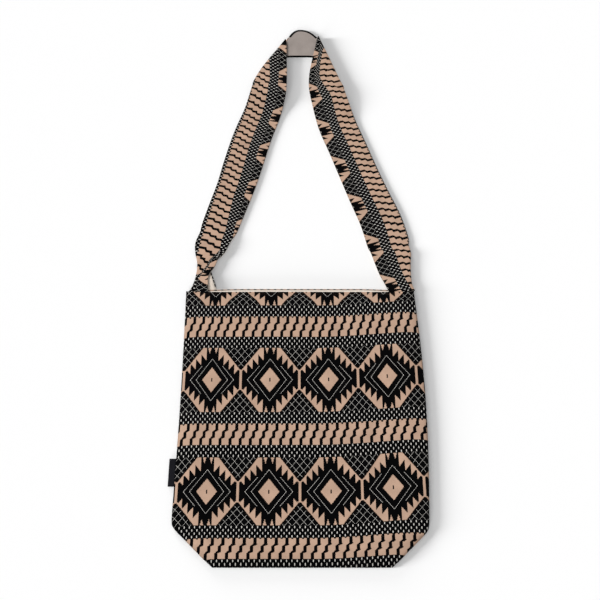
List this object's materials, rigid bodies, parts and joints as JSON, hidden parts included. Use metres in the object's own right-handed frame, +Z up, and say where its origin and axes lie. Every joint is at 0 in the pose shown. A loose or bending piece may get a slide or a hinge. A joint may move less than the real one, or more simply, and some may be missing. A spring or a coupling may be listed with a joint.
{
  "type": "carryall bag",
  "caption": "Flat lined cloth shoulder bag of patterned jacquard with one wide band folded round both side seams, lying on its back",
  "frame": {"origin": "middle of the back panel's flat lower face, which lies on the ground", "axes": "+Z up out of the bag's front, +Y from the bottom seam towards the mouth and the band, +X to the right seen from the front"},
  "size_m": [0.3685, 1.0187, 0.0121],
  "materials": {
    "jacquard": "woven black and beige cotton jacquard, matt",
    "band_jacquard": "the same jacquard cut lengthwise for the band, matt",
    "lining": "plain undyed cotton, matt",
    "label": "black woven ribbon"
  },
  "bodies": {
    "root": {"front_panel": "jacquard", "back_panel": "jacquard", "lining_front": "lining", "lining_back": "lining", "strap_face": "band_jacquard", "strap_lining": "lining", "side_label": "label"}
  },
  "joints": []
}
